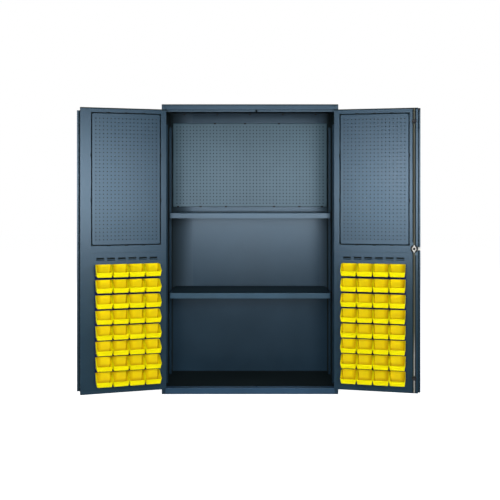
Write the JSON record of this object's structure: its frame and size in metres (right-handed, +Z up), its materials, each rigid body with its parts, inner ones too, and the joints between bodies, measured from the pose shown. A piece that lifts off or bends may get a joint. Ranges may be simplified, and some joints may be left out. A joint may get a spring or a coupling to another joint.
{
  "type": "bin cabinet",
  "caption": "Upright steel storage cabinet with hinged doors that carry perforated tool panels and rows of hook-on bins, with inner shelves and a rod latch.",
  "frame": {"origin": "centre of the base on the floor", "axes": "+X to the right of someone facing the doors, +Y to the back, +Z up"},
  "size_m": [2.3013, 0.9087, 2],
  "materials": {
    "carcass_paint": "satin blue-grey paint on sheet steel",
    "door_paint": "satin blue-grey paint on sheet steel",
    "bin_plastic": "moulded yellow plastic with a soft sheen",
    "zinc": "zinc-plated steel",
    "rod_steel": "bright drawn steel with a warm tint",
    "chrome": "polished chrome plate",
    "black_plastic": "black moulded plastic"
  },
  "bodies": {
    "cabinet": {"left_side_panel": "carcass_paint", "right_side_panel": "carcass_paint", "back_panel": "carcass_paint", "roof_panel": "carcass_paint", "floor_panel": "carcass_paint", "floor_stiffener": "carcass_paint", "header_rail": "carcass_paint", "sill_rail": "carcass_paint", "upper_shelf": "carcass_paint", "lower_shelf": "carcass_paint", "left_shelf_standards": "carcass_paint", "right_shelf_standards": "carcass_paint", "upper_shelf_clips": "zinc", "lower_shelf_clips": "zinc", "back_pegboard": "carcass_paint", "left_hinge_jamb_leaf": "carcass_paint", "right_hinge_jamb_leaf": "carcass_paint"},
    "left_door": {"left_door_skin": "door_paint", "left_door_liner": "door_paint", "left_pegboard": "door_paint", "left_louver_panel": "door_paint", "left_hinge_door_leaf": "carcass_paint", "astragal": "door_paint", "left_bins_row_1": "bin_plastic", "left_bins_row_2": "bin_plastic", "left_bins_row_3": "bin_plastic", "left_bins_row_4": "bin_plastic", "left_bins_row_5": "bin_plastic", "left_bins_row_6": "bin_plastic", "left_bins_row_7": "bin_plastic", "left_bins_row_8": "bin_plastic"},
    "right_door": {"right_door_skin": "door_paint", "right_door_liner": "door_paint", "right_pegboard": "door_paint", "right_louver_panel": "door_paint", "right_hinge_door_leaf": "carcass_paint", "rod_guides": "black_plastic", "handle_rose": "chrome", "right_bins_row_1": "bin_plastic", "right_bins_row_2": "bin_plastic", "right_bins_row_3": "bin_plastic", "right_bins_row_4": "bin_plastic", "right_bins_row_5": "bin_plastic", "right_bins_row_6": "bin_plastic", "right_bins_row_7": "bin_plastic", "right_bins_row_8": "bin_plastic"},
    "latch_handle": {"latch_lever": "chrome", "bolt_crank": "zinc", "latch_cam": "zinc", "cam_cover": "chrome"},
    "lock_plug": {"lock_plug": "chrome"},
    "upper_lock_rod": {"upper_lock_rod": "rod_steel"},
    "lower_lock_rod": {"lower_lock_rod": "rod_steel"},
    "center_bolt": {"center_bolt": "zinc"}
  },
  "joints": [
    {"name": "left_door_hinge", "type": "hinge", "parent": "cabinet", "child": "left_door", "pos_m": [-0.58275, -0.3093, 0], "axis": [0, 0, -1], "range_deg": [-163.5, 11.5]},
    {"name": "right_door_hinge", "type": "hinge", "parent": "cabinet", "child": "right_door", "pos_m": [0.58275, -0.3093, 0], "axis": [0, 0, 1], "range_deg": [-167.5, 7.5]},
    {"name": "handle_turn", "type": "hinge", "parent": "right_door", "child": "latch_handle", "pos_m": [1.10707, -0.42994, 1.01425], "axis": [0.2164, 0.9763, 0], "range_deg": [0, 90]},
    {"name": "lock_plug_turn", "type": "hinge", "parent": "latch_handle", "child": "lock_plug", "pos_m": [1.10707, -0.42994, 1.01425], "axis": [0.2164, 0.9763, 0], "range_deg": [0, 90]},
    {"name": "upper_rod_slide", "type": "slide", "parent": "right_door", "child": "upper_lock_rod", "axis": [0, 0, 1], "range_m": [0, 0.02263]},
    {"name": "lower_rod_slide", "type": "slide", "parent": "right_door", "child": "lower_lock_rod", "axis": [0, 0, -1], "range_m": [0, 0.02263]},
    {"name": "center_bolt_slide", "type": "slide", "parent": "right_door", "child": "center_bolt", "axis": [0.9763, -0.2164, 0], "range_m": [0, 0.02829]}
  ],
  "couplings": [
    {"joint": "upper_rod_slide", "follows": "handle_turn", "m_per_rad": 0.014405},
    {"joint": "lower_rod_slide", "follows": "handle_turn", "m_per_rad": 0.014405},
    {"joint": "center_bolt_slide", "follows": "handle_turn", "m_per_rad": 0.018006}
  ]
}
